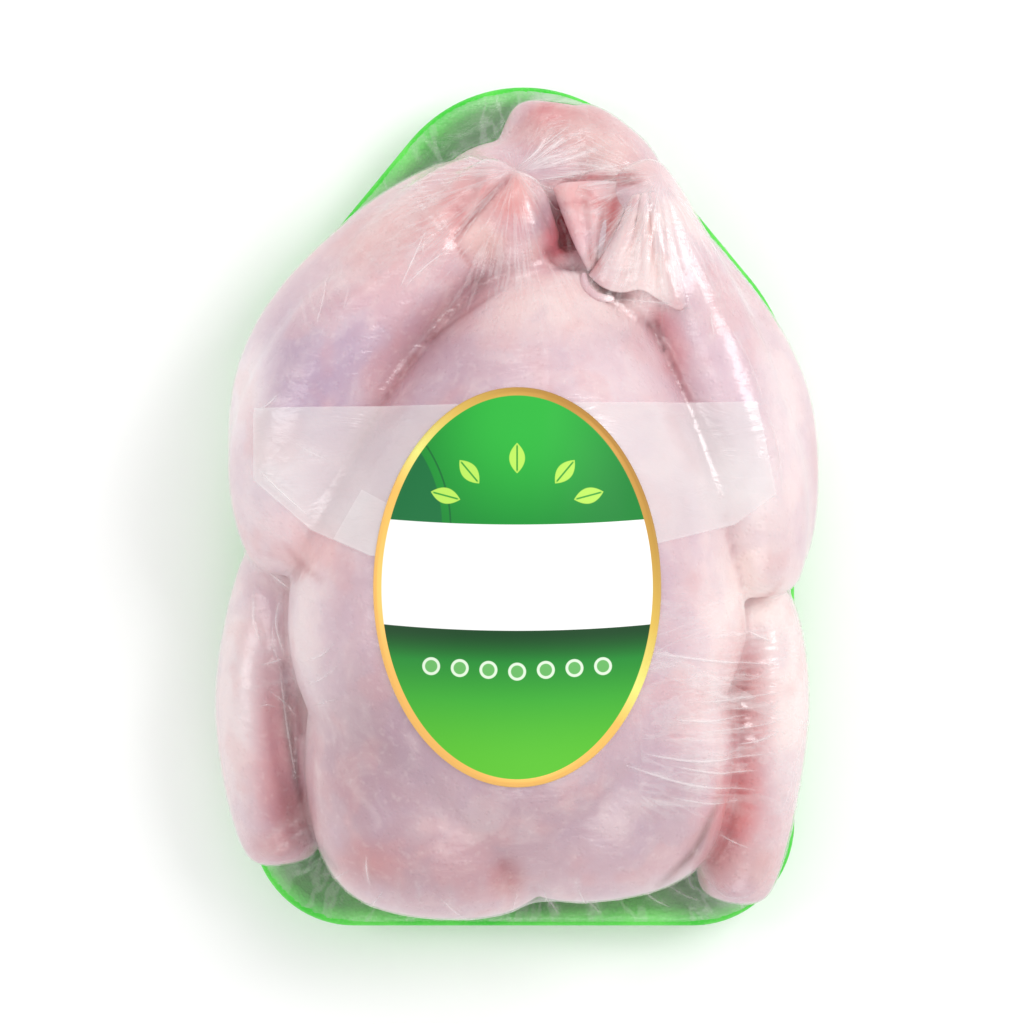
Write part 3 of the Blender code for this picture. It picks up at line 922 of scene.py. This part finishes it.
def skin_finish(name):
    finish = Finish(name)
    place = finish.place()
    tint = finish.node("Attribute", {"attribute_name": "tint"}, out="Color")
    crease = finish.number("crease")
    depth = finish.number("depth")
    mottle = finish.noise(place, 70, 3, 0.6, 0.6)
    fine = finish.noise(place, 420, 2, 0.6)
    shade = finish.blend(mottle.ramp(0.45, 0.72) * 0.22, tint, colour("#f6e6e2"))
    shade = finish.blend(mottle.ramp(0.52, 0.30) * 0.14, shade, colour("#b08a9c"))
    shade = finish.blend(fine.ramp(0.55, 0.75) * 0.14, shade, colour("#f9ecea"))
    # Painted shade: darker where the skin lies deep under the film, and in its creases.
    shade = finish.blend(depth.ramp(0.0020, 0.0110) * 0.22, shade, colour("#8a3f48"))
    shade = finish.blend(crease.ramp(0.00012, 0.00080) * 0.38, shade, colour("#a8505a"))
    pores = finish.node("TexVoronoi", {"feature": "F1"}, {"Vector": place, "Scale": 520.0})
    relief = pores.ramp(0.0, 0.45) * 0.5 + fine * 0.6
    shader = finish.principled(
        Base_Color=shade,
        Roughness=mottle.ramp(0.3, 0.7, 0.34, 0.46),
        Normal=finish.bump(relief, 0.0005, 0.5),
        Subsurface_Weight=0.12,
        Subsurface_Scale=0.003,
        Subsurface_Radius=(1.0, 0.45, 0.40),
        IOR=1.40,
    )
    return finish.done(shader)


def around(x, y, middle_x, middle_y):
    """The angle and the distance of a place from the middle."""
    dx, dy = x - middle_x, y - middle_y
    return dy.maths("ARCTAN2", dx), (dx * dx + dy * dy) ** 0.5


def film_finish():
    finish = Finish("clear film")
    place = finish.place()
    x, y, z = finish.parts(finish.stretched(place, (1000.0, 1000.0, 1000.0)))
    # A painted reflection of a softbox: a whiter band of film across the breast, under the label, with a
    # corner on the left.
    left_edge = (x * -0.866 - 60.3).most(x * -0.413 - 32.4)
    right_edge = (x * 0.244 - 24.2).most(x * 0.735 - 53.2).most(x * 0.231 - 20.4)
    foot = left_edge.most(right_edge).most(-14.5)
    reflection_band = (y - foot).ramp(-0.15, 0.25) * (30.6 + x * 0.012 - y).ramp(-0.15, 0.2)
    upper = z.ramp(10, 20)
    reflection_band = reflection_band * (78.4 - y * 0.215 - x).ramp(-0.15, 0.2) * (x + 79.0).ramp(-0.15, 0.3) * upper
    corner = (y + 32.2 + x * 0.413).ramp(0, 0.3) * (x * 1.72 + 84.4 - y).ramp(-0.3, 0)
    corner = corner * (x * -0.53 - 19.4 - y).ramp(-0.3, 0)
    # Fine wisps run out from the two gathers, along the pleats on the right, and out to the tray's rim.
    right = x.ramp(20.9, 21.1)
    rows = x.ramp(33, 37) * y.ramp(-22, -26)
    low = z.ramp(46, 40)
    middle_x = (right * 43.4 - 0.6) * (1 - rows) - rows * 40
    middle_y = (101 - right * 2) * (1 - rows) - rows * 62
    turn, far = around(x, y, middle_x * (1 - low), middle_y * (1 - low) - low * 10)
    wisps = finish.noise(finish.vector(turn * 9, far * 0.03), 1.0, 3, 0.6, 0.4)
    wisps = (wisps - 0.5).maths("ABSOLUTE").ramp(0.05, 0.005)
    across, along = x - OPENING[0], y - OPENING[1]
    opening = across * across / 80 + along * along / 200
    reach = far.ramp(62, 18) * (1 - rows) * (1 - low) * opening.ramp(0.5, 1.3)
    reach = reach + rows * y.ramp(-98, -88) * upper * 0.7 + low * upper * 0.5
    edge = finish.node("LayerWeight", sockets={"Blend": 0.35}, out="Facing")
    # The film's haze, with the painted reflection band added.
    haze_and_reflection = finish.number("veil") + reflection_band * 0.36 + corner * upper * 0.12
    haze_and_reflection = haze_and_reflection + edge ** 2.5 * 0.38 + wisps * reach * 0.2
    gloss = 0.05 + edge ** 4.0 * 0.4
    wrinkle = finish.noise(finish.stretched(place, (60.0, 190.0, 60.0)), 1.0, 4, 0.6, 0.8)
    shader = finish.principled(
        Base_Color=colour("#fefafa"),
        Metallic=gloss / (gloss + haze_and_reflection),
        Roughness=0.19,
        Normal=finish.bump(wrinkle, 0.0012, 0.4),
        IOR=1.5,
    )
    clear = finish.node("BsdfTransparent")
    cover = (gloss + haze_and_reflection).least(0.9)
    return finish.done(finish.node("MixShader", sockets={0: cover, 1: clear, 2: shader}))


def crease_finish():
    finish = Finish("film crease")
    white = finish.number("white")
    # White crests: the creased film's own white, and partly a painted highlight.
    shader = finish.principled(Base_Color=colour("#fffafa"), Roughness=0.12, IOR=1.5)
    clear = finish.node("BsdfTransparent")
    return finish.done(finish.node("MixShader", sockets={0: white * 0.42, 1: clear, 2: shader}))


def foam_finish():
    finish = Finish("green foam")
    place = finish.place()
    cells = finish.node("TexVoronoi", {"feature": "F1"}, {"Vector": place, "Scale": 900.0})
    cloud = finish.noise(place, 45, 3, 0.6)
    shade = finish.blend(cloud.ramp(0.3, 0.7), colour("#34cf2e"), colour("#62e452"))
    shade = finish.blend(cells.ramp(0.5, 0.0) * 0.25, shade, colour("#9be98c"))
    shader = finish.principled(
        Base_Color=shade,
        Roughness=cloud.ramp(0.3, 0.7, 0.42, 0.6),
        Normal=finish.bump(cells + cloud * 0.8, 0.0004, 0.5),
    )
    return finish.done(shader)


def label_finish():
    finish = Finish("label print")
    x, y, _ = finish.parts(finish.stretched(finish.place(), (1000.0, 1000.0, 1000.0)))
    x = x - LABEL_CENTRE[0] / MM
    y = y - LABEL_CENTRE[1] / MM
    half_width, half_length = LABEL_HALF_WIDTH / MM, LABEL_HALF_LENGTH / MM
    u = x / half_width
    v = y / half_length
    inner_u = x / (half_width - LABEL_RING)
    inner_v = y / (half_length - LABEL_RING)
    out = (inner_u * inner_u + inner_v * inner_v) ** 0.5
    # Green fields above and below a blank white band with bowed edges.
    bow = x * x * LABEL_BOW
    upper_edge = LABEL_BAND[1] + bow
    lower_edge = LABEL_BAND[0] + bow
    above = (y - upper_edge).ramp(-0.12, 0.12)
    below = (lower_edge - y).ramp(-0.12, 0.12)
    from_top = (x * x * 1.3 + (y - 52) * (y - 52)) ** 0.5
    top = finish.blend(from_top.ramp(6, 46), colour("#2cb23c"), colour("#118230"))
    swoosh = ((x + 62) * (x + 62) + (y - 18) * (y - 18)) ** 0.5
    top = finish.blend(swoosh.ramp(40.2, 39.8), top, colour("#13703a"))
    line = (swoosh - 42.5).maths("ABSOLUTE").ramp(0.35, 0.15)
    top = finish.blend(line * 0.8, top, colour("#0f6230"))
    ramp_settings = {"stops": ((0.0, "#164421"), (0.12, "#268a34"), (0.45, "#41ab37"), (1.0, "#60c634"))}
    depth = ((lower_edge - y) / 44.0).ramp(0.0, 1.0)
    bottom = finish.node("ValToRGB", ramp_settings, {0: depth})
    shade = finish.blend(above, colour("#fdfdfc"), top)
    shade = finish.blend(below, shade, bottom)
    for left, height, turn in LABEL_LEAVES:
        shade = leaf(finish, x, y, shade, (left, height), turn)
    for step in range(7):
        across = (step - 3) * LABEL_RING_STEP
        ring = ((x - across) * (x - across) + (y + 24.5 - abs(step - 3) * 0.5) ** 2.0) ** 0.5
        shade = finish.blend(ring.ramp(2.75, 2.5) * 0.9, shade, colour("#e9f7e2"))
        shade = finish.blend(ring.ramp(1.95, 1.7) * 0.9, shade, colour("#4fae48"))
    gold_way = (u * 0.7 + v * 0.9).ramp(-1.2, 1.2)
    stops = ((0.0, "#ffc46a"), (0.42, "#ffcb69"), (0.58, "#fdf98a"), (0.78, "#e9c45f"), (1.0, "#bb8a42"))
    gold = finish.node("ValToRGB", {"stops": stops}, {0: gold_way})
    rim = out.ramp(0.998, 1.002)
    shade = finish.blend(rim, shade, gold)
    shader = finish.principled(
        Base_Color=shade,
        Metallic=rim * 0.25,
        Roughness=out.ramp(0.99, 1.0, 0.5, 0.35),
        Specular_IOR_Level=0.25,
    )
    return finish.done(shader)


def leaf(finish, x, y, shade, middle, turn):
    """A plain leaf with a pale rib, as a spindle between two arcs."""
    angle = math.radians(turn)
    dx, dy = x - middle[0], y - middle[1]
    along = dx * math.sin(-angle) + dy * math.cos(angle)
    across = dx * math.cos(angle) + dy * math.sin(angle)
    body = (across.maths("ABSOLUTE") - (20.0 - along * along) * 0.115).ramp(0.15, -0.15)
    rib = across.maths("ABSOLUTE").ramp(0.32, 0.18) * along.maths("ABSOLUTE").ramp(4.2, 3.4)
    shade = finish.blend(body, shade, colour("#b7e65c"))
    return finish.blend(rib * body, shade, colour("#3f9e3a"))


# Pieces


def make_chicken():
    masses = [mass(f"mass {number}", *shape) for number, shape in enumerate(MASSES)]
    bird = fused("chicken", masses, SKIN_CELL, 4)
    stroked(bird, SKIN_STROKES, 0.030)
    rested_on_tray(bird)
    painted(bird, SKIN_BASE, SKIN_TONES_AND_LIGHT, SKIN_CREASE_SHADE)
    number_layer(bird, "crease", hollowness(bird))
    smooth_shaded(bird)
    bird.data.materials.append(skin_finish("raw skin"))
    return bird


def make_skin_folds():
    """The loose skin round the opening: it ends in thin edges."""
    sheets = [skin_sheet(f"sheet {number}", ribs) for number, ribs in enumerate(SKIN_SHEETS)]
    folds = joined("skin_folds", [*sheets, mass("curl", SKIN_CURL, 4.0, 24, 16)])
    painted(folds, SKIN_BASE, FOLD_AREAS, FOLD_CREASE_SHADE)
    number_layer(folds, "crease", hollowness(folds))
    smooth_shaded(folds)
    folds.data.materials.append(skin_finish("loose skin"))
    return folds


def make_tray():
    tray = closed_loft("foam_tray", tray_outline(0.0025), TRAY_OUTSIDE + TRAY_INSIDE)
    smooth_shaded(tray)
    tray.data.materials.append(foam_finish())
    return tray


def fanned(chance):
    """Film pleats in fans and rows: each a line in mm, its width and height in mm and its whiteness."""
    pleats = []
    for x, y, start, end, count, shortest, longest, white in FILM_FANS:
        for number in range(count):
            turn = math.radians(start + (end - start) * (number + chance.uniform(0.1, 0.9)) / count)
            bend = turn + chance.uniform(-0.12, 0.12)
            reach = chance.uniform(shortest, longest)
            near = (x + 1.5 * math.cos(turn), y + 1.5 * math.sin(turn))
            middle = (x + reach * 0.5 * math.cos(turn), y + reach * 0.5 * math.sin(turn))
            far = (x + reach * math.cos(bend), y + reach * math.sin(bend))
            pleats.append(((near, middle, far), chance.uniform(0.6, 1.1), chance.uniform(0.3, 0.6), white))
    for start_from, start_to, end_from, end_to, count, white in FILM_ROWS:
        for number in range(count):
            share = (number + chance.uniform(0.1, 0.9)) / count
            ends = []
            for first, last in ((start_from, start_to), (end_from, end_to)):
                ends.append([a + (b - a) * share + chance.uniform(-2, 2) for a, b in zip(first, last)])
            middle = [(a + b) / 2 + chance.uniform(-1, 1) for a, b in zip(*ends)]
            strength = white * chance.uniform(0.3, 1.0)
            width = chance.uniform(0.7, 1.4)
            pleats.append(((ends[0], middle, ends[1]), width, chance.uniform(0.25, 0.55), strength))
    for line, half_width, white in FILM_CREASES:
        pleats.append((line, 1.2, 0.45, white * 0.5))
    return pleats


def refined(obj, zones):
    """Divides the faces that look up in each zone, given as x from, to, y from, to and lowest z in mm."""
    whole = bmesh.new()
    whole.from_mesh(obj.data)
    for x_from, x_to, y_from, y_to, lowest in zones:
        whole.normal_update()
        inside = set()
        for point in whole.verts:
            x, y, z = point.co / MM
            if x_from < x < x_to and y_from < y < y_to and z > lowest and point.normal.z > 0.1:
                inside.add(point)
        edges = [edge for edge in whole.edges if edge.verts[0] in inside and edge.verts[1] in inside]
        bmesh.ops.subdivide_edges(whole, edges=edges, cuts=1, use_grid_fill=True)
        near = [point for edge in edges if edge.is_valid for point in edge.verts]
        bmesh.ops.smooth_vert(
            whole, verts=list(set(near)), factor=0.5, use_axis_x=True, use_axis_y=True, use_axis_z=True
        )
    whole.to_mesh(obj.data)
    whole.free()


def make_film(bird, folds):
    """Clear film round the bird and the tray, with its hollows bridged and its pleats raised."""
    lid = ((0.0030, 0.0219), (0.0090, 0.0222), (0.03, 0.0224))
    shell = closed_loft("shell", tray_outline(0.004), TRAY_OUTSIDE + lid)
    inside = [shell]
    for source in (bird, folds):
        inside.append(linked("inside", source.data.copy()))
    held = fused("held", inside, FILM_CELL, 2)
    film = linked("film", held.data.copy())
    drawn_tight(film, held)
    bpy.data.objects.remove(held)
    refined(film, FILM_FINE_ZONES)
    points, normals = points_of(film), normals_of(film)
    places = points[:, :2] / MM
    facing = np.clip(normals[:, 2] * 3 + 0.3, 0, 1)
    lift = np.zeros(len(points))
    white = np.zeros(len(points))
    for line, width, height, strength in fanned(random.Random(5)):
        distance, along = line_distance(places, line)
        near = np.sin(np.pi * np.clip(along, 0.03, 0.97)) ** 0.6 * facing
        lift = np.maximum(lift, height * MM * near * np.exp(-distance / width))
        # The white along each pleat's crest is creased film, and partly a painted highlight.
        white = np.maximum(white, strength * near * np.exp(-((distance / (width * 0.7)) ** 2)))
    points += normals * lift[:, None]
    points[:, 2] = np.maximum(points[:, 2], 0.0002)
    set_points(film, points)
    cloud = np.array([noise.fractal(Vector(point) * 30, 0.6, 2.0, 3) for point in points])
    low = np.clip((34 - points[:, 2] / MM) / 8, 0, 1) * np.clip(places[:, 0] / 30 + 0.6, 0.15, 1)
    low = low * np.clip(places[:, 1] / 40, 0.16, 1) * np.clip(points[:, 2] / MM / 12, 0.1, 1)
    veil = VEIL + np.clip(cloud, 0, 1) * VEIL_CLOUDS + low * (VEIL_RIM + cloud * 0.3) + white * PLEAT_WHITE_AND_GLINT
    opening = ((places[:, 0] - OPENING[0]) / 9) ** 2 + ((places[:, 1] - OPENING[1]) / 14) ** 2
    veil = np.maximum(veil * np.clip(opening, 0.15, 1), 0.0)
    number_layer(film, "veil", veil)
    film.data.materials.clear()
    film.data.materials.append(film_finish())
    smooth_shaded(film)
    return film


def draped(ground, x, y):
    """The highest point of the ground at this place in mm, and its normal."""
    hit, normal, _, _ = ground.ray_cast(Vector((x * MM, y * MM, 0.3)), Vector((0, 0, -1)))
    return (hit, normal) if hit else (None, None)


def make_film_creases(film):
    """Pinched folds of the film: low tapered ridges that lie on it."""
    ground = ground_of(film)
    points, faces, white = [], [], []
    for line, half_width, strength in FILM_CREASES:
        stations = [(*place, 0.0, 0.0, 0.0) for place in line]
        length = sum(math.dist(a, b) for a, b in zip(line, line[1:]))
        count = max(8, round(length / 0.8))
        rings = []
        for step in range(count + 1):
            share = step / count
            place, normal = draped(ground, *on_curve(stations, share)[:2])
            if place is None:
                continue
            ahead = on_curve(stations, min(share + 0.02, 1.0))
            behind = on_curve(stations, max(share - 0.02, 0.0))
            along = Vector((ahead[0] - behind[0], ahead[1] - behind[1], 0)).normalized()
            side = along.cross(normal).normalized()
            taper = max(math.sin(math.pi * share), 0.02) ** 0.6
            wide = half_width * MM * taper
            high = 0.55 * wide
            rings.append([
                place - side * wide - normal * 0.1 * MM,
                place - side * (0.35 * wide) + normal * high * 0.8,
                place + normal * high,
                place + side * (0.35 * wide) + normal * high * 0.8,
                place + side * wide - normal * 0.1 * MM,
            ])
            # The crest is whitest: partly a painted highlight.
            white += [0.0, strength * taper, strength * taper, strength * taper, 0.0]
        if len(rings) < 3:
            continue
        ring_points, ring_faces = bridged(rings)
        faces += [tuple(index + len(points) for index in face) for face in ring_faces]
        points += ring_points
    creases = mesh_object("film_creases", points, faces)
    number_layer(creases, "white", white)
    smooth_shaded(creases)
    creases.data.materials.append(crease_finish())
    return creases


def make_label(film):
    """The printed oval, stuck to the film: two skins and a rounded rim."""
    ground = ground_of(film)
    spokes, rings = 160, 30
    layers = []
    for number in range(rings + 1):
        share = max(number / rings, 0.01)
        ring = []
        for spoke in range(spokes):
            turn = 2 * math.pi * spoke / spokes
            x = LABEL_CENTRE[0] / MM + LABEL_HALF_WIDTH / MM * share * math.cos(turn)
            y = LABEL_CENTRE[1] / MM + LABEL_HALF_LENGTH / MM * share * math.sin(turn)
            ring.append(draped(ground, x, y)[0])
        layers.append(ring)
    under = [[point + Vector((0, 0, 0.0003)) for point in ring] for ring in layers]
    over = [[point + Vector((0, 0, 0.0006)) for point in ring] for ring in reversed(layers)]
    label = mesh_object("oval_label", *bridged(under + over))
    soften = label.modifiers.new("soften", "SMOOTH")
    soften.factor = 0.5
    soften.iterations = 2
    bake_modifiers(label)
    smooth_shaded(label)
    label.data.materials.append(label_finish())
    return label


# Stage


def area_light(name, place, size, power):
    light = bpy.data.lights.new(name, "AREA")
    light.shape = "RECTANGLE"
    light.size, light.size_y = size
    light.energy = power
    lamp = linked(name, light)
    lamp.location = place
    lamp.rotation_euler = (Vector(LIGHTS_AIM) - Vector(place)).to_track_quat("-Z", "Y").to_euler()


def make_stage():
    floor = mesh_object("floor", [(-3, -3, 0), (3, -3, 0), (3, 3, 0), (-3, 3, 0)], [(0, 1, 2, 3)])
    finish = Finish("pale floor")
    floor.data.materials.append(finish.done(finish.principled(Base_Color=colour("#ffffff"), Roughness=0.9)))
    scene = bpy.context.scene
    world = bpy.data.worlds.new("studio")
    world.use_nodes = True
    world.node_tree.nodes["Background"].inputs["Color"].default_value = (1.0, 1.0, 1.0, 1.0)
    world.node_tree.nodes["Background"].inputs["Strength"].default_value = WORLD_LIGHT
    scene.world = world
    scene.view_settings.view_transform = "Standard"
    for light in LIGHTS:
        area_light(*light)
    camera = bpy.data.cameras.new("camera")
    camera.lens = CAMERA_LENS
    camera.sensor_width = 36
    eye = linked("camera", camera)
    eye.location = CAMERA_PLACE
    scene.camera = eye


def main():
    make_stage()
    bird = make_chicken()
    folds = make_skin_folds()
    tray = make_tray()
    film = make_film(bird, folds)
    for piece in (bird, folds):
        number_layer(piece, "depth", depth_under(piece, film))
    creases = make_film_creases(film)
    label = make_label(film)
    for piece in (bird, folds, film, creases):
        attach(piece, "root")
        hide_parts("wrapped_chicken")
    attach(tray, "root")
    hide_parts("tray")
    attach(label, "root")
    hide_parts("label")
    bpy.context.view_layer.update()


main()
